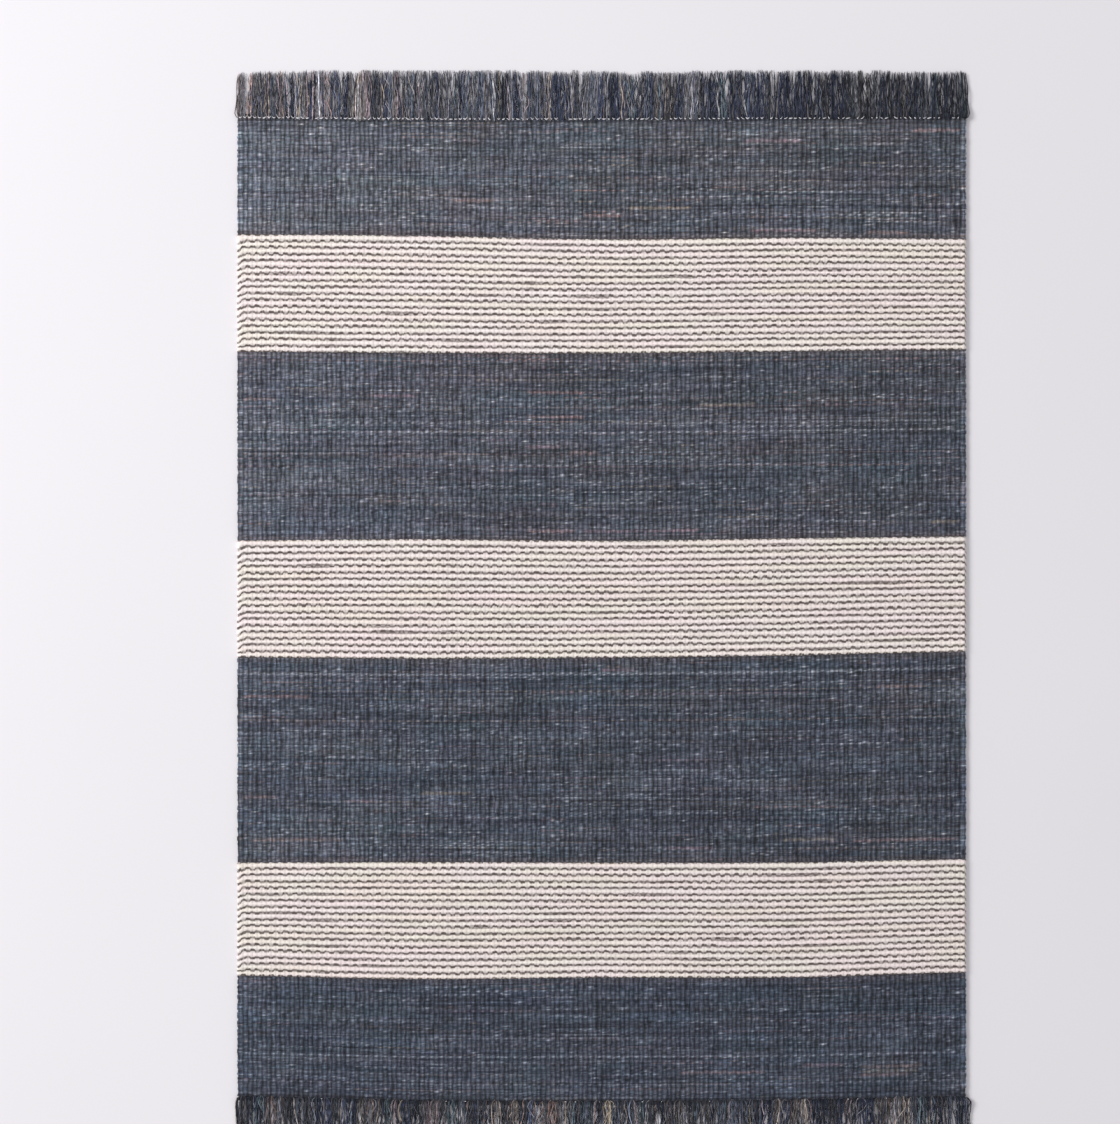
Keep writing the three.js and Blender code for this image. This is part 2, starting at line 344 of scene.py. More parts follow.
def slate_finish(name, seed):
    """Melange weft in the colours that the mesh holds, with a painted highlight along each crest and painted
    shade in the grooves and at the ends of each float. The floats differ in length, the ribs wander a little,
    and the fibres lie in lumps."""
    finish = Finish(name)
    u, v = finish.readings("weave")[:2]
    rib = u.whole()

    # How far a place is from the middle of its float and from the crest of its rib. Neither lies quite even.
    centre = v + (rib % 2) * 0.5 + (finish.cloud(rib * 2.3, v * 0.4, seed + 8.8, 1.0) - 0.5) * 0.9
    off_middle = abs(centre - centre.nearest()) * 2
    wander = (finish.cloud(u * 0.8, v * 0.11, seed + 3.3) - 0.5) * 0.8
    wander = wander + (finish.cloud(rib * 3.1, v * 0.03, seed) - 0.5) * 0.9
    off_crest = (abs(u - rib - 0.5 + wander) * 2).maths("MINIMUM", 1.0)

    # Fine fibres, lumps in one float and in several, and crests that differ from rib to rib.
    fibre = finish.cloud(u * 4.5, v * 1.9, seed, 3.0)
    lump = finish.cloud(u, v * 0.85, seed + 5.5).soft(0.25, 0.75)
    long_lump = finish.cloud(rib * 1.7, v * 0.33, seed + 4.1).soft(0.3, 0.7)
    crest = finish.cloud(rib * 2.7, v * 0.05, seed + 2.2).soft(0.25, 0.75)
    light = (fibre * 1.3 + 0.35) * (lump * 0.45 + long_lump * 0.45 + 0.55)
    # Painted light on the weft: a painted highlight along each crest, and painted shade beside it, in the
    # grooves and at the ends of the floats.
    painted_shade_beside_crest = (crest * 0.4 + 0.35) * off_crest.soft(0.0, 0.34)
    light = light * (painted_crest_highlight - painted_shade_beside_crest - painted_groove_shade * off_crest.soft(0.45, 1.0))
    light = light * (1 - painted_float_end_shade * off_middle.soft(0.3, 1.0))
    # The held colour is the floats' dye, with painted shade beside the seams and a painted highlight at the
    # right selvedge.
    finish.yarn(finish.mix(1.0, finish.held("dye"), light, "MULTIPLY"))
    height = (1 - off_crest * off_crest) * 0.6 + (1 - off_middle * off_middle) * 0.3 + fibre * 0.35
    finish.bump(height, slate_relief)
    return finish


# The bands grow darker and bluer towards the near end. For each there are its name, the depth of its dye, how
# far across the rug most of its runs lie, and how much paler it is at the left.
slate_bands = {
    0: ("slate_band_near", (0.61, 0.67, 0.76), 0.5, 0.06),
    2: ("slate_band_second", (0.73, 0.77, 0.83), 0.5, 0.1),
    4: ("slate_band_third", (0.86, 0.87, 0.91), 0.5, 0.16),
    6: ("slate_band_far", (1.03, 1.02, 1.03), 0.68, 0.17),
}
slate_dyes = np.array([
    dye(92, 97, 108), dye(71, 75, 85), dye(108, 111, 118),
    dye(97, 96, 104), dye(87, 96, 104), dye(96, 96, 100),
])[:, :3]
slate_odds = [0.3, 0.2, 0.18, 0.14, 0.1, 0.08]
charcoal_dye = np.array(dye(52, 55, 64)[:3])
warm_dyes = np.array([dye(172, 144, 143), dye(160, 136, 146), dye(166, 142, 137), dye(162, 149, 136)])[:, :3]
slub_dye = np.array(dye(188, 189, 196)[:3])
lint_dye = np.array(dye(228, 228, 230)[:3])
# Beside a seam: dark picks, with painted shade.
seam_picks_and_shade = np.array(dye(44, 44, 52)[:3])
cream_side_dye = np.array(dye(104, 92, 92)[:3])

# Short runs of other yarn lie over the picks' own dye, and show on every second rib as dotted lines. Each
# kind has its dyes, its number for each pick, its mean length in ribs, and the least and most that it covers.
run_kinds = (
    (charcoal_dye[None], 0.5, 13, 0.3, 0.9),
    (warm_dyes, 0.38, 7, 0.3, 0.85),
    (slub_dye[None], 0.5, 6, 0.3, 0.9),
    (slub_dye[None], 1.6, 0.6, 0.3, 1.0),
    (lint_dye[None], 0.12, 0.3, 0.5, 1.0),
)
run_spread = 0.34
mean_dye_run, shortest_dye_run = 18, 2
tints = ((-0.06, 0.01, 0.04), (0.05, -0.02, 0.01), (0.04, 0.0, -0.03))
unlike_picks, unlike_floats = 0.06, 0.18


def slate_dyes_of_floats(rng, picks, centre_of_runs, paler_left):
    """The dye of the float on each rib at each pick. A pick is melange yarn that changes its dye along the
    way, and the whole band darkens from the left selvedge to the right one."""
    grid = np.zeros((picks + 1, ribs, 3))
    for pick in range(picks + 1):
        at = -rng.exponential(mean_dye_run + shortest_dye_run)
        while at < ribs:
            run = rng.exponential(mean_dye_run) + shortest_dye_run
            chosen = slate_dyes[rng.choice(len(slate_dyes), p=slate_odds)]
            grid[pick, max(0, int(at)):int(at + run) + 1] = chosen
            at += run
    for tint in tints:
        for down, across in ((picks // 16 + 2, 34), (picks // 50 + 2, 10)):
            grid = grid * (1 + 0.6 * np.array(tint) * drift(rng, picks + 1, ribs, down, across)[..., None])

    # The depth of the dye swells along a few picks or ribs, and differs from pick to pick and float to float.
    swells = ((0.37, picks, 20), (0.22, picks, 7), (0.1, picks // 12, ribs), (0.12, picks // 80 + 1, ribs),
              (0.12, picks // 36, 9))
    tone = sum(depth * drift(rng, picks + 1, ribs, down, across) for depth, down, across in swells)
    tone = tone + rng.normal(0, unlike_picks, (picks + 1, 1))
    tone = tone + rng.normal(0, unlike_floats, (picks + 1, ribs))
    leftness = np.linspace(1, -1, ribs)
    grid = grid * np.exp(tone + paler_left * (leftness + 0.5 * leftness ** 2 - 0.17))[..., None]

    # Specks of one rib or two lie anywhere, and longer runs around one place.
    for dyes, count, mean_run, least, most in run_kinds:
        for _ in range(int(picks * count)):
            run = int(1 + rng.exponential(mean_run))
            start = int(np.clip(rng.normal(centre_of_runs, run_spread), -0.02, 1) * ribs)
            pick, share = rng.integers(0, picks + 1), rng.uniform(least, most)
            if mean_run < 1:
                start = rng.integers(0, ribs)
            there = grid[pick, max(0, start):start + run]
            there[:] = there * (1 - share) + dyes[rng.integers(len(dyes))] * share
    return grid


# The warm runs that stand out on the rug: where each starts and ends across the width, and how far along its
# band it lies from the near end. A run shows on its own pick, 0, and less on the picks beside it.
warm_runs = {
    0: [(0.61, 0.72, 0.23), (0.78, 0.83, 0.28), (0.86, 0.94, 0.26), (0.86, 0.93, 0.22), (0.86, 0.92, 0.19)],
    2: [(0.01, 0.09, 0.81), (0.50, 0.54, 0.94), (0.88, 0.94, 0.84), (0.25, 0.32, 0.34), (0.01, 0.05, 0.32),
        (0.15, 0.19, 0.30), (0.02, 0.14, 0.11), (0.75, 0.82, 0.11), (0.85, 0.99, 0.10), (0.59, 0.65, 0.07)],
    4: [(0.40, 0.47, 0.79), (0.18, 0.24, 0.77), (0.01, 0.05, 0.75), (0.64, 0.71, 0.72), (0.40, 0.47, 0.66),
        (0.40, 0.44, 0.50), (0.46, 0.49, 0.47), (0.96, 0.99, 0.08), (0.40, 0.46, 0.05), (0.48, 0.63, 0.05)],
    6: [(0.93, 0.99, 0.90), (0.70, 0.77, 0.82), (0.30, 0.35, 0.31), (0.54, 0.62, 0.26), (0.48, 0.52, 0.20),
        (0.71, 0.79, 0.06), (0.87, 0.92, 0.05)],
}
shares_of_warm_run = {-2: 0.4, -1: 0.45, 0: 0.85, 1: 0.5, 2: 0.6, 3: 0.3}

# Where the weft turns back at the right selvedge its colour gets a painted highlight.
painted_highlight_at_right_edge = np.array([[1.25], [2.5]])

# How many lines of floats a seam's dark picks and painted shade, or a cream band's warm dye, reach into a
# slate band, and how much they cover.
seam_reach, seam_share = 3.5, 0.7
cream_reach, cream_share = 6, 0.4

for band, (name, depth, centre_of_runs, paler_left) in slate_bands.items():
    rng = np.random.default_rng(100 + band)
    floats_along = int(round(band_lengths[band] / float_spacing))
    u, v = np.arange(0, ribs + 0.5, 0.5), np.arange(floats_along + 1.0)
    column, line = np.meshgrid(np.arange(len(u)), np.arange(len(v)))
    uneven = rng.uniform(-1, 1, column.shape) * yarn_unevenness
    heights = np.where(column % 2, rib_crest, rib_valley) + uneven

    # Every pick floats over each second rib only, so two of them share a line of points.
    picks = 2 * floats_along + 1
    dyes = slate_dyes_of_floats(rng, picks, centre_of_runs, paler_left)
    for k, (start, end, along) in enumerate(warm_runs[band]):
        for beside, share in shares_of_warm_run.items():
            there = dyes[int(along * picks) + beside, int(start * ribs):int(end * ribs) + 1]
            share = share * rng.uniform(0.3, 1.3, (len(there), 1))
            there[:] = there * (1 - share) + warm_dyes[k % len(warm_dyes)] * share
    rib = np.minimum(column // 2, ribs - 1)
    colours = dyes[2 * line + rib % 2, rib] * np.array(depth)
    colours[:, 2:-1:2] = (colours[:, 1:-3:2] + colours[:, 3::2]) / 2

    # A band's dye warms beside cream, and darkens beside a seam with dark picks and painted shade.
    for edge, from_edge in ((band, v), (band + 1, v[::-1])):
        reach, share, other = cream_reach, cream_share, cream_side_dye * depth
        if edge in (0, len(band_lengths)):
            reach, share, other = seam_reach, seam_share, seam_picks_and_shade
        blend = share * np.clip(1.6 - 1.6 * from_edge / reach, 0, 1)[:, None, None]
        colours = colours * (1 - blend) + other * blend
    # A painted highlight on the last ribs at the right selvedge.
    colours[:, -2:] *= painted_highlight_at_right_edge
    piece = woven_band(name, band, slate_finish(name + "_weft", seed=3.7 * band + 1.9), u, v, heights,
                       np.zeros(column.shape), colours)


# The cream bands. Thick bleached jute lies in rows of four picks, and between two rows a pair of thin dark
# picks sinks into a groove. One of the pair floats over the even ribs and the other over the odd ones, so
# that the line they make steps up and down from rib to rib.
cream_bands = {1: ("pale_band_near", 0.965), 3: ("pale_band_middle", 0.985), 5: ("pale_band_far", 1.0)}
dark_rows = 17
picks_per_row = 6
picks_before_row = 6
row_crest = 9.4 * MM
groove_depth = 1.5 * MM
groove_reach = 0.16
cream_float_lap = 0.12 * MM
cream_rib_dip = 0.28 * MM
groove_and_shoulders = (0.0, 0.15, 0.85)
points_per_rib = len(groove_and_shoulders)
row_wander, rib_wander = 0.35, 0.12
weft_sag = 0.55
sagging_ribs = 1.6
sagging_picks = 9

# How light the cream is painted on its crests, and how much painted shade the grooves between its ribs, its
# picks and its rows get. The dark line's thickness and the softness of its edges are in picks.
cream_painted_light, painted_rib_shade, painted_pick_shade, painted_row_shade = 1.03, 0.14, 0.04, 0.2
line_thickness, line_edge = 1.06, 0.4
cream_relief = 0.7 * MM


def dark_line(finish, u, off_crest, row, off_line, seed):
    """How strongly the dark pair in the nearest groove shows, and a slow change along it. One pick shows on
    the even ribs and its neighbour, half a pick nearer by, on the odd ribs. Where the yarn lies aslant the
    floats run into each other on one side and break on the other. Here and there the pair lies apart, with
    cream showing between its picks."""
    turn = (row % 2) * 2 - 1
    along = finish.cloud(u * 0.35, row * 3.3, seed + 7.1)
    uneven = finish.cloud(u * 1.3, row * 7.9, seed + 31.1, 1.0) - 0.5
    apart = finish.cloud(u * 0.09, row * 4.3, seed + 17.7).soft(0.3, 0.7) * 0.4 + 0.3
    slant = (finish.cloud(u * 0.05, row * 2.9, seed + 12.9) - 0.46) * 6
    in_pair = (u + turn * 0.5 + 0.5) / 2
    to_odd_rib = abs(in_pair - in_pair.whole() - 0.5) * 2
    level = ((to_odd_rib + uneven * 0.3).soft(0.4, 0.6) - 0.5) * apart * 2
    aslant = slant * (u - u.whole() - 0.5) * apart + uneven * 0.9 + turn * 0.2
    thickness = line_thickness + (along - 0.5) * 0.8 + uneven * 0.8
    doubled = finish.cloud(u * 0.07, row * 8.3, seed + 61.9).soft(0.58, 0.68) * 0.7
    lopsided = (finish.cloud(u * 0.06, row * 5.9, seed + 71.3).soft(0.4, 0.6) - 0.5) * 0.35
    strength = finish.cloud(u * 0.3, row * 5.7, seed + 23.1).soft(0.25, 0.6) * 0.14 + 0.86
    breaks = finish.cloud(u * 1.1, row * 6.1, seed + 51.3, 1.0).soft(0.46, 0.62) * 0.45
    strength = strength * (1 - breaks * off_crest.soft(0.2, 0.8)) * (1 + lopsided * level / apart)
    line = (abs(off_line - aslant - level) - thickness).soft(line_edge, -line_edge) * strength
    other = (abs(off_line - aslant + level * 1.8) - thickness * 0.6).soft(line_edge, -line_edge) * doubled
    return line.maths("MAXIMUM", other), along


def cream_finish(name, seed):
    """Bleached jute with dark picks in the grooves, and painted shade between its ribs, between its picks and
    beside its rows.
    """
    finish = Finish(name)
    u, v, row_at = finish.readings("weave")
    odd = u.whole() % 2
    pick = ((v - odd) / 2).nearest() * 2 + odd
    off_crest = abs(u - u.whole() - 0.5) * 2
    off_middle = abs(v - pick)
    row = row_at.nearest()
    off_line = (row_at - row) * picks_per_row
    fibre = finish.cloud(u * 8, v * 4, seed + 41)
    mottle = finish.cloud(u * 1.5, v * 0.7, seed + 3.7).soft(0.3, 0.7)
    light = (fibre * 0.36 + 0.8) * (mottle * 0.08 + 0.95)
    # Painted shade between the ribs, between the picks and beside the rows of dark picks.
    light = light * (cream_painted_light - painted_rib_shade * off_crest.soft(0.35, 1.0))
    light = light * (1 - painted_pick_shade * off_middle.soft(0.6, 1.0))
    light = light * (cream_painted_light - painted_row_shade * abs(off_line).soft(2.8, 1.0))
    colour = finish.mix(1.0, finish.held("dye"), light, "MULTIPLY")
    line, along = dark_line(finish, u, off_crest, row, off_line, seed)
    line_dye = finish.mix(along.soft(0.4, 0.6), dye(88, 78, 74), dye(101, 92, 88))
    finish.yarn(finish.mix(line, colour, line_dye))
    height = (1 - off_crest * off_crest) * 0.3 + (1 - off_middle * off_middle) * 0.15
    finish.bump(height + fibre * 0.4 - line * 0.4, cream_relief)
    return finish


bleached_dye = np.array(dye(252, 240, 234)[:3])
cream_swell, cream_speckle = 0.05, 0.03
pink_tint, green_tint = np.array([0.02, -0.015, 0.0]), np.array([-0.01, 0.006, -0.045])
for band, (name, depth) in cream_bands.items():
    rng = np.random.default_rng(200 + band)
    picks = picks_per_row * (dark_rows - 1) + 2 * picks_before_row
    u = np.append(np.add.outer(np.arange(ribs), groove_and_shoulders).ravel(), ribs)
    v = np.arange(picks + 1.0)
    column, line = np.meshgrid(np.arange(len(u)), np.arange(len(v)))
    in_groove = column % points_per_rib == 0
    odd = (column // points_per_rib) % 2
    wander = row_wander * drift(rng, len(v), len(u), dark_rows, 40)
    wander = wander + rib_wander * drift(rng, len(v), len(u), dark_rows * 2, ribs)
    row_at = (v[:, None] - picks_before_row - wander) / picks_per_row

    # At the left selvedge the rows turn down towards the near end.
    from_left = np.clip(1 - u / sagging_ribs, 0, 1) ** 2
    from_ends = ease((v[-1] - v) / sagging_picks)[:, None], ease(v / sagging_picks)[:, None]
    row_at = row_at + weft_sag * from_left * from_ends[0] * from_ends[1]
    off_line = np.abs(row_at - np.round(row_at))
    groove = groove_depth * np.exp(-(off_line / groove_reach) ** 2)
    lapped = (line - odd) % 2 == 1
    uneven = rng.uniform(-1, 1, off_line.shape) * yarn_unevenness
    dips = np.where(in_groove, cream_rib_dip, np.where(lapped, cream_float_lap, 0))
    pink, green = (drift(rng, len(v), len(u), dark_rows, 12)[..., None] for _ in range(2))
    tone = cream_swell * drift(rng, len(v), len(u), len(v) - 1, 30)
    tone = tone + rng.normal(0, cream_speckle, off_line.shape)
    colours = depth * bleached_dye * np.exp(tone)[..., None]
    colours = colours * (1 + pink * pink_tint + green * green_tint)

    # At each end of the band, slate floats reach in over every second rib.
    reaches_in = (odd[0] == 1) & ~in_groove[0]
    colours[np.ix_([0, -1], reaches_in)] = slate_dyes[1]
    piece = woven_band(name, band, cream_finish(name + "_weft", seed=5.3 * band + 0.7), u, v,
                       row_crest - groove - dips + uneven, row_at, colours)


# The fringes. Loose two-ply yarns in the rug's own colours leave a narrow sewn band at each end in small
# bunches. At the far end they lie combed almost straight, and at the near end they splay and cross.
yarn_dyes = {
    "charcoal": dye(57, 59, 67), "slate": dye(76, 81, 93), "navy": dye(48, 53, 70),
    "grey": dye(106, 106, 113), "brown": dye(91, 86, 86), "rust": dye(122, 102, 98),
    "tan": dye(142, 132, 127), "rose": dye(121, 109, 114), "teal": dye(76, 90, 98),
    "pale": dye(156, 156, 162), "ochre": dye(146, 134, 118),
}
strand_sides = 5
strand_steps = 9
strand_radius = 1.35 * MM
thin_share, thin_radius = 0.14, 0.5
shortest_share = 0.86
tip_radius, tip_margin = 0.4, 1.5 * MM
root_tuck = 2.5 * MM
over_and_under = 1.5 * MM
floor_clearance = 0.1 * MM
fringe_inset = 3 * MM
corner_reach = 30 * MM
ply_relief = 0.14
ply_turns = 5.5
band_section = [(0.5, 0.0), (9.5, 0.0), (9.5, 5.0), (6.5, 6.8), (2.0, 6.8), (0.5, 5.6)]
band_wraps = 400
band_inset = 1.4 * MM
fringe_relief = 0.5 * MM

# How high the lowest strand lies and how much higher the highest does, in millimetres: where it leaves the
# band and where it has come to rest.
root_heights, rest_heights = (6.3, 1.3), (1.4, 4.0)

# How much alike the dyes of neighbouring bunches are, how much the bunches differ in depth, and how much the
# strands on top are painted paler and those beneath darker, as painted light and shade in the heap.
alike, unlike_bunches, painted_light_on_top = 1.3, 0.14, 0.75


def fringe_finish(name):
    """Dyed yarn of two plies, each strand in its own colour: patchy along it, with painted shade between the
    plies and at its root, where it leaves the sewn band.
    """
    finish = Finish(name)
    along, around, number = finish.readings("strand")
    ply = abs((around * 2 - along * ply_turns) % 1.0 - 0.5) * 2
    fibre = finish.cloud(along * 30, around * 4, number * 7)
    patch = finish.cloud(along * 10, number * 11)
    # Painted shade between the plies, and patchy fibres.
    light = (ply * 0.3 + 0.75) * (fibre * 0.45 + 0.78) * (patch.soft(0.32, 0.68) + 0.52)
    # Painted shade at the root, where the strand leaves the sewn band.
    light = light * (0.72 + 0.35 * along.soft(0, 0.3))
    # The held colour carries the painted light and shade of the heap.
    finish.yarn(finish.mix(1.0, finish.held("dye"), light, "MULTIPLY"))
    finish.bump(ply * 0.6 + fibre * 0.4, fringe_relief)
    return finish


# Each strand has a small cell of the texture, with its walls in the middle and its two ends beside them.
cell_margin, cell_walls = 0.06, 0.8
end_size, end_places = 0.02, ((0.93, 0.03), (0.93, 0.93))


def tubes(paths, radii, share, sides, turns):
    """Points, faces, texture places and readings of many round strands. share tells how far along its strand
    each step is."""
    count, steps = paths.shape[:2]
    angle = np.arange(sides) / sides * 2 * np.pi
    lobes = 1 + ply_relief * np.cos(2 * (angle[None, :] - turns * np.pi * share[:, None]))
    reach = radii[:, :, None] * lobes[None]
    points = np.repeat(paths[:, :, None, :], sides, 2)
    points[..., 0] += reach * np.cos(angle)
    points[..., 2] += reach * np.sin(angle)
    points[..., 2] = np.maximum(points[..., 2], floor_clearance)
    first = (np.arange(count) * steps * sides)[:, None, None]
    k, a = np.arange(steps - 1)[None, :, None], np.arange(sides)[None, None, :]
    b = (a + 1) % sides
    walls = np.stack([first + k * sides + a, first + (k + 1) * sides + a,
                      first + (k + 1) * sides + b, first + k * sides + b], -1).reshape(-1, 4)
    ring = np.arange(sides)
    roots = first[:, 0] + ring
    tips = (first[:, 0] + (steps - 1) * sides + ring)[:, ::-1]

    cells = int(np.ceil(np.sqrt(count)))
    cell = np.stack([np.arange(count) % cells, np.arange(count) // cells], -1) / cells
    corner = np.stack(np.broadcast_arrays(a / sides, k / (steps - 1)), -1)
    wide, tall = 1 / sides, 1 / (steps - 1)
    quads = corner[:, :, :, None, :] + np.array([[0, 0], [0, tall], [wide, tall], [wide, 0]])
    walls_uv = (cell[:, None, None, None, :] + (cell_margin + cell_walls * quads) / cells).reshape(-1, 2)
    dot = end_size * np.stack([np.cos(angle), np.sin(angle)], -1)
    ends_uv = [(cell[:, None, :] + (dot + place) / cells).reshape(-1, 2) for place in end_places]
    number = np.arange(count)[:, None, None] * 0.37
    strand = np.stack(np.broadcast_arrays(share[None, :, None], angle / (2 * np.pi), number), -1)
    return (points.reshape(-1, 3), [*walls.tolist(), *roots.tolist(), *tips.tolist()],
            np.concatenate([walls_uv, *ends_uv]), strand.reshape(-1, 3))


def strand_paths(rng, node, edge, outwards, bunches, habit, splay, lengths):
    """Where each strand lies at each step and how thick it is there, then how far along it the steps are, the
    bunch it hangs in, and how high it lies in the heap, from 0 to 1."""
    low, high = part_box(node)
    half = half_width - fringe_inset

    # Strands leave the band in bunches. Each has its place in its bunch.
    in_bunch = habit["strands"]
    bunch = np.repeat(np.arange(bunches), in_bunch)
    strands = len(bunch)
    bunch_gap = 2 * half / bunches
    bunch_x = cloth_middle - half + bunch_gap * (np.arange(bunches) + 0.5)
    bunch_x = (bunch_x + bunch_gap * rng.uniform(-0.2, 0.2, bunches))[bunch]
    beside = np.tile((np.arange(in_bunch) + 0.5) / in_bunch - 0.5, bunches)
    beside = beside + rng.normal(0, 0.4 / in_bunch, strands)
    upper = rng.random(strands)
    thin = rng.random(strands) < thin_share
    x0 = np.clip(bunch_x + beside * bunch_gap, cloth_middle - half, cloth_middle + half)
    beside = x0 - bunch_x

    # A bunch is trimmed as one, and its strands a little unevenly.
    seam = edge_at(edge, x0)
    longest = (high.y - seam if outwards > 0 else seam - low.y) - tip_margin
    trimmed = np.interp(bunch / bunches, np.linspace(0, 1, len(lengths)), lengths)
    trimmed = trimmed + rng.normal(0, habit["ragged"], bunches)[bunch] + 0.014 * rng.normal(0, 1, strands)
    length = longest * trimmed.clip(shortest_share, 1)

    # A strand leans with its neighbours and its bunch, strays from it, and waves. At the rug's two corners it
    # splays outwards instead.
    share = np.linspace(0, 1, strand_steps + 1) ** 1.3
    s = share[None, :]
    lean = habit["lean"] * drift(rng, 2, bunches, 1, bunches // 3)[0]
    lean = (lean + rng.normal(0, habit["tilt"], bunches))[bunch]
    lean = lean + rng.normal(0, habit["stray"], strands) * np.where(thin, 2, 1)
    lean = lean * ease(0.25 + 1.5 * upper)
    at_left = np.clip(1 - (x0 - cloth_middle + half) / corner_reach, 0, 1)
    at_right = np.clip(1 - (cloth_middle + half - x0) / corner_reach, 0, 1)
    corner = (splay[1] * at_right - splay[0] * at_left)[:, None]
    lean = lean * (1 - 0.8 * (at_left + at_right))
    swing = rng.normal(0, habit["wave"], (strands, 1)) * np.where(thin, 1.8, 1)[:, None]
    swing = swing * (1 - 0.6 * (at_left + at_right)[:, None])
    opened = np.sqrt(1 - (1 - np.clip(s / habit["opening"], 0, 1)) ** 2)
    opened = habit["pinch"] + (1 - habit["pinch"]) * opened + habit["flare"] * s
    x = bunch_x[:, None] + beside[:, None] * opened + lean[:, None] * s ** 1.4
    x = x + corner * np.sqrt(np.clip(s * 8, 0, 1)) * (1 - 0.6 * s)
    x = x + swing * np.sin(np.pi * s * rng.uniform(1.2, 4.5, (strands, 1)))
    y = seam[:, None] + outwards * (s * (length[:, None] + root_tuck) - root_tuck)

    # It comes off the top of the sewn band, settles on the floor or on other strands, and passes over some
    # and under others.
    root_height = (root_heights[0] + root_heights[1] * upper)[:, None] * MM
    rest_height = (rest_heights[0] + rest_heights[1] * upper)[:, None] * MM
    settled = ease((s - 0.09) / 0.3)
    z = root_height * (1 - settled) + rest_height * settled - 0.9 * MM * upper[:, None] * s
    phase, waves = rng.uniform(0, 2, (strands, 1)), rng.uniform(2, 5, (strands, 1))
    z = z + settled * over_and_under * np.sin(np.pi * (phase + waves * s))
    radii = strand_radius * rng.uniform(0.7, 1.2, (strands, 1)) * np.where(thin, thin_radius, 1)[:, None]
    radii = radii * (1 - 0.3 * s) * np.where(s > 0.97, tip_radius, 1)
    return np.stack([x, y, z], -1), radii, share, bunch, upper


def strand_colours(rng, bunch, upper, leanings, paleness, habit):
    """The colour of each strand: its dye, with painted light and shade. A bunch is mostly of one dye, its
    neighbours tend to be alike, and single strands differ in depth. The upper ones are painted paler and the
    lower ones darker."""
    strands, bunches = len(bunch), bunch[-1] + 1
    names = list(leanings)
    likely = np.array([leanings[n] for n in names]).T
    to_right = np.linspace(0, 1, bunches)[:, None]
    odds = likely[0] * (1 - to_right) + likely[1] * to_right
    odds = odds * np.exp(alike * np.stack([drift(rng, 2, bunches, 1, bunches // 3)[0] for _ in names], -1))
    odds = np.cumsum(odds, 1)[bunch]
    own = rng.random(strands) < habit["mixed"]
    draw = np.where(own, rng.random(strands), rng.random(bunches)[bunch])
    chosen = (draw[:, None] * odds[:, -1:] > odds).sum(1)
    tone = rng.normal(0, unlike_bunches, bunches) + np.polyval(paleness, to_right[:, 0])
    # Painted light on the strands on top of the heap, and painted shade on those beneath.
    tone = tone[bunch] + rng.normal(0, habit["depths"], strands) + painted_light_on_top * (upper - 0.6)
    return np.array([yarn_dyes[n][:3] for n in names])[chosen] * np.exp(tone)[:, None]


def sewn_band(edge, outwards):
    """Points, faces and readings of the narrow band under the roots, which is wrapped in thread."""
    x = cloth_middle + np.linspace(-half_width + band_inset, half_width - band_inset, band_wraps + 1)
    out, height = np.array(band_section).T * MM
    swell = np.where(np.arange(len(x)) % 2, 1.0, 0.93)[:, None]
    points = np.stack(np.broadcast_arrays(
        x[:, None], edge_at(edge, x)[:, None] + outwards * out, height * swell), -1)
    n = len(band_section)
    caps = [list(range(n))[::-1], [band_wraps * n + k for k in range(n)]]
    faces = [face if outwards > 0 else face[::-1] for face in [*joined_rings(len(x), n)[0], *caps]]
    strand = np.stack([x.repeat(n) * 40, np.tile(np.arange(n) / n, len(x)), np.zeros(len(x) * n)], -1)
    return points.reshape(-1, 3), faces, strand


def fringe(name, node, edge, outwards, seed, bunches, leanings, paleness, habit, splay, lengths):
    """A whole fringe: its strands and its sewn band. leanings gives the likelihood of each dye at the left
    and at the right, paleness how the depth of the dyes changes between them, habit how the strands lie,
    splay how far they spread at the left and right corners, and lengths how long they are from left to right,
    as shares of the room they have."""
    rng = np.random.default_rng(seed)
    paths, radii, share, bunch, upper = strand_paths(
        rng, node, edge, outwards, bunches, habit, splay, lengths)
    points, faces, uvs, strand = tubes(paths, radii, share, strand_sides, ply_turns)
    colour = strand_colours(rng, bunch, upper, leanings, paleness, habit)
    colour = np.repeat(colour, (strand_steps + 1) * strand_sides, 0)
    band_points, band_faces, band_strand = sewn_band(edge, outwards)
    band_faces = [[k + len(points) for k in face] for face in band_faces]
    band_uvs = np.tile([[0.001, 0.999]], (sum(len(face) for face in band_faces), 1))
    band_colour = np.tile(np.array(yarn_dyes["charcoal"][:3]) * 0.8, (len(band_points), 1))
    colour = np.concatenate([colour, band_colour])
    colour = np.concatenate([colour, np.ones((len(colour), 1))], 1)
    piece = mesh_object(
        name, np.concatenate([points, band_points]).tolist(), faces + band_faces,
        fringe_finish(name + "_yarn"), np.concatenate([uvs, band_uvs]),
        [("dye", "FLOAT_COLOR", colour), ("strand", "FLOAT_VECTOR", np.concatenate([strand, band_strand]))])
    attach(piece, "root")
    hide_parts(node)
    return piece


# How likely each dye is at the left and at the right. The far fringe turns from grey and brown to navy.
far_yarns = {
    "charcoal": (5, 7), "slate": (4, 6), "navy": (0.9, 24), "grey": (6, 1.0), "brown": (7, 0.2),
    "rust": (1.0, 0.1), "tan": (1.2, 0.1), "rose": (1.8, 0.2), "teal": (1.6, 1.2), "pale": (0.18, 0.12),
    "ochre": (0.15, 0.1),
}
near_yarns = {
    "charcoal": (8, 8), "slate": (5, 5), "navy": (4, 5), "grey": (2.5, 2.5), "brown": (3.5, 3),
    "rust": (1.6, 1.2), "tan": (1.4, 1.2), "rose": (1.2, 1.0), "teal": (1.5, 1.5), "pale": (0.3, 0.3),
    "ochre": (0.4, 0.3),
}

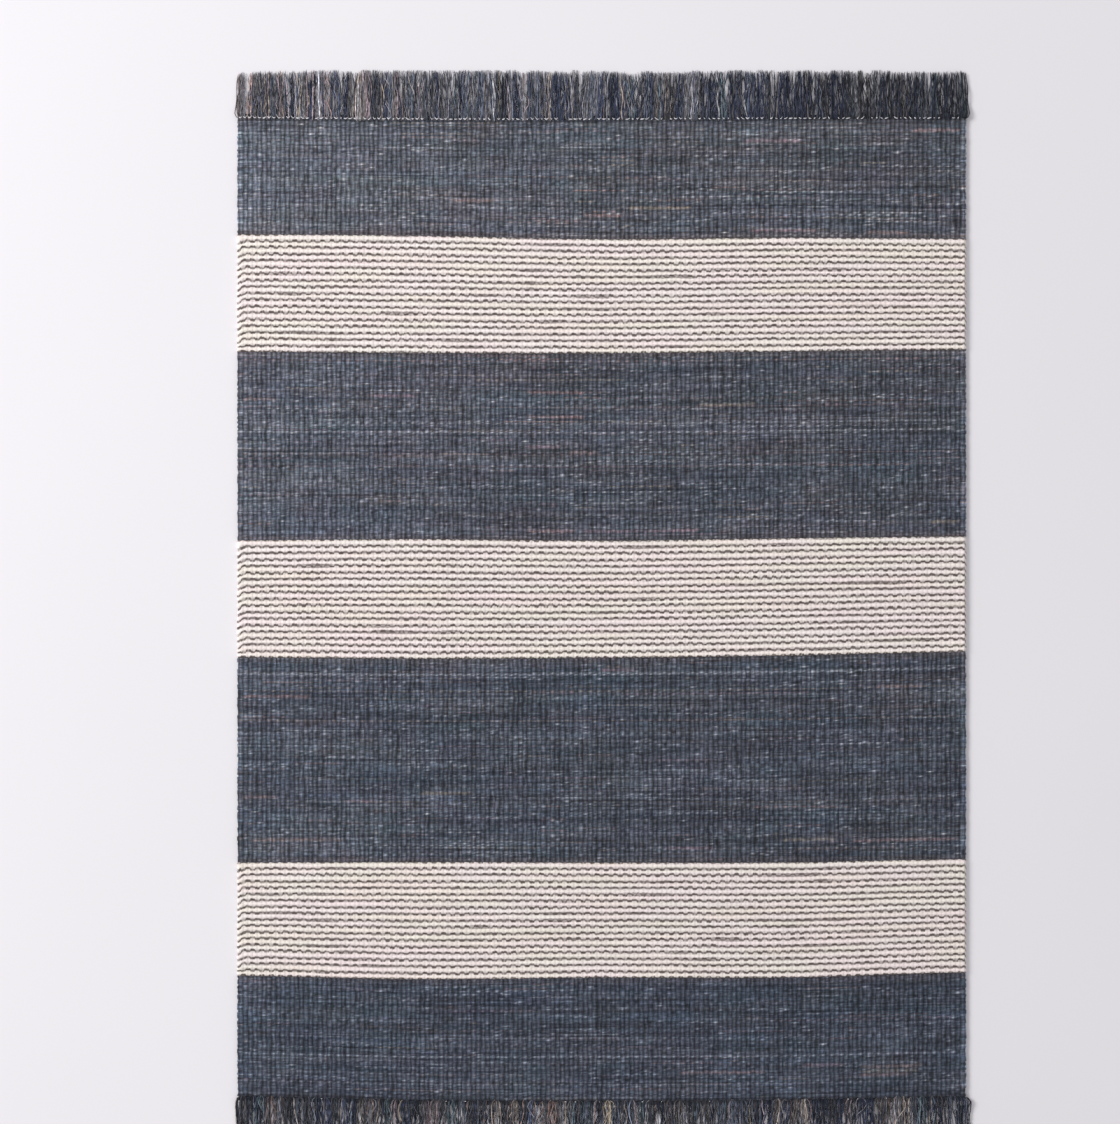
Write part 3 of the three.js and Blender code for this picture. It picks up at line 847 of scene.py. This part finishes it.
# How the strands lie: how many hang in a bunch, how narrow it is at the band, how soon it opens and how far
# it flares, then how far strands lean with their neighbours, tilt with their bunch, stray and wave. Last, how
# many have a dye of their own, how uneven the tips are, and how much the depths of the dyes differ.
combed = {"strands": 8, "pinch": 0.85, "opening": 0.1, "flare": 0.1, "lean": 5 * MM, "tilt": 1.8 * MM,
          "stray": 3.8 * MM, "wave": 2.8 * MM, "mixed": 0.5, "ragged": 0.018, "depths": 0.24}
knotted = {"strands": 15, "pinch": 0.3, "opening": 0.11, "flare": 0.25, "lean": 5 * MM, "tilt": 3 * MM,
           "stray": 5 * MM, "wave": 3.8 * MM, "mixed": 0.4, "ragged": 0.012, "depths": 0.32}
far_lengths = [0.925, 0.975, 0.985, 0.985, 0.96, 0.945, 0.97, 0.98, 0.955, 0.945]
near_lengths = [0.945, 0.945]
far_fringe = fringe("fringe_far_yarns", "fringe_far", edge=7, outwards=1, seed=31, bunches=156,
                    leanings=far_yarns, paleness=(-1.85, 0.92, 0.33), habit=combed,
                    splay=(12 * MM, 11 * MM), lengths=far_lengths)
near_fringe = fringe("fringe_near_yarns", "fringe_near", edge=0, outwards=-1, seed=32, bunches=80,
                     leanings=near_yarns, paleness=(-0.08,), habit=knotted,
                     splay=(7 * MM, 18 * MM), lengths=near_lengths)


# The stitches. Off-white thread catches each fringe's band to the cloth. At the far end it shows on most ribs
# as a short dash with its ends pulled towards the fringe, thinner and further apart to the right. At the near
# end few show.
stitch_radius = 1.05 * MM
stitch_steps = 6
stitch_sides = 6
stitch_height = 8.7 * MM
stitch_dip = 1.5 * MM
stitch_places = 152
outermost_stitch = half_width - 6 * MM
past_seam = 1.2 * MM
thread_relief = 0.3 * MM


def stitch_finish(name):
    """Off-white thread with darker fibres."""
    finish = Finish(name)
    along, around, number = finish.readings("strand")
    fibre = finish.cloud(along * 6, around * 4, number * 3)
    finish.yarn(finish.mix(fibre, dye(186, 184, 190), dye(240, 238, 240)))
    finish.bump(fibre, thread_relief)
    return finish


def stitches(name, edge, outwards, seed, shown, half_length, rise, radius):
    """A row of stitches. shown gives how many of its places show one at the left and at the right, and rise
    how far the ends of a stitch are pulled towards the fringe."""
    rng = np.random.default_rng(seed)
    places = cloth_middle + np.linspace(-1, 1, stitch_places) * outermost_stitch
    to_right = (places - cloth_middle) / (2 * half_width) + 0.5
    kept = rng.random(len(places)) < shown[0] + (shown[1] - shown[0]) * to_right
    places, to_right = places[kept][:, None], to_right[kept][:, None]
    count = len(places)
    halves = half_length * (1 - 0.15 * to_right + rng.uniform(-0.45, 0.5, (count, 1)))
    s = np.linspace(-1, 1, stitch_steps + 1)[None, :]
    x = places + halves * s
    y = edge_at(edge, x.ravel()).reshape(x.shape) + rng.normal(0, 0.25, (count, 1)) * rise * s
    rise = rise * (1 - 0.75 * to_right)
    y = y + outwards * (past_seam + rng.uniform(0.1, 1.3, (count, 1)) * rise * np.abs(s) ** 1.4)
    z = np.broadcast_to(stitch_height - stitch_dip * np.abs(s) ** 3, x.shape)
    radii = radius * rng.uniform(0.65, 1.25, (count, 1)) * (1 - 0.2 * to_right) * np.sqrt(1.04 - s * s)

    # Tubes run along the rug, so the stitches are made that way and then turned to run across it.
    points, faces, uvs, strand = tubes(np.stack([y, -x, z], -1), radii, (s[0] + 1) / 2, stitch_sides, 0)
    points = np.stack([-points[:, 1], points[:, 0], points[:, 2]], -1)
    piece = mesh_object(name, points.tolist(), faces, stitch_finish(name + "_thread"), uvs,
                        [("strand", "FLOAT_VECTOR", strand)])
    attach(piece, "root")
    return piece


far_stitches = stitches("stitches_far", edge=7, outwards=1, seed=77, shown=(0.96, 0.8),
                        half_length=3.8 * MM, rise=5.5 * MM, radius=1.15 * stitch_radius)
near_stitches = stitches("stitches_near", edge=0, outwards=-1, seed=78, shown=(0.14, 0.12),
                         half_length=1.4 * MM, rise=1 * MM, radius=0.8 * stitch_radius)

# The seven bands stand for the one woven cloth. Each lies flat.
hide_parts("woven_cloth")


# The floor, plain and pale, and the soft light that falls on it from the upper left. The floor is so wide that
# its corners stay out of the picture when the rug is seen from low down.
floor_half = 60.0


def plain_floor():
    """Matt paint, all but even."""
    finish = Finish("pale_floor")
    place = finish.node("ShaderNodeTexCoord", {}, {}, "Object")
    x, y = [finish.node("ShaderNodeSeparateXYZ", {}, {0: place}, k) for k in range(2)]
    paint = finish.mix(finish.cloud(x * 1.5, y * 1.5), dye(233, 230, 233), dye(236, 233, 236))
    finish.surface(paint, roughness=0.9, gloss=0.1)
    return finish


corners = [(-floor_half, -floor_half, 0), (floor_half, -floor_half, 0), (floor_half, floor_half, 0),
           (-floor_half, floor_half, 0)]
floor = mesh_object("floor", corners, [(0, 1, 2, 3)], plain_floor())


def lamp(name, place, size, power):
    """A soft square lamp that faces the middle of the rug."""
    light = bpy.data.lights.new(name, "AREA")
    light.size, light.energy = size, power
    fixed = bpy.data.objects.new(name, light)
    fixed.location = place
    fixed.rotation_euler = (-fixed.location).to_track_quat("-Z", "Y").to_euler()
    bpy.context.scene.collection.objects.link(fixed)


lamp("window", place=(-8.7, 3.5, 5.9), size=4.2, power=1030)
world = bpy.context.scene.world or bpy.data.worlds.new("studio")
bpy.context.scene.world = world
world.use_nodes = True
daylight = world.node_tree.nodes["Background"].inputs
daylight["Color"].default_value = (0.97, 0.97, 1.0, 1.0)
daylight["Strength"].default_value = 0.57
bpy.context.scene.view_settings.view_transform = "Standard"


# The camera looks straight down. The rug's width on the picture sets its scale, and the rug's left and far
# edges set its place.
picture_width = 1120
rug_left, rug_right, far_tips = 237.5, 966.0, 68.6
picture_middle = (560.0, 562.0)
camera_height = 5.0
sensor = 36.0
metres_per_pixel = 2 * half_width / (rug_right - rug_left)
camera = bpy.data.objects.new("camera", bpy.data.cameras.new("camera"))
camera.data.sensor_fit = "HORIZONTAL"
camera.data.sensor_width = sensor
camera.data.lens = sensor * (camera_height - rib_crest) / (picture_width * metres_per_pixel)
camera.location = (
    cloth_middle + (picture_middle[0] - (rug_left + rug_right) / 2) * metres_per_pixel,
    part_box("fringe_far")[1].y - (picture_middle[1] - far_tips) * metres_per_pixel,
    camera_height)
bpy.context.scene.collection.objects.link(camera)
bpy.context.scene.camera = camera
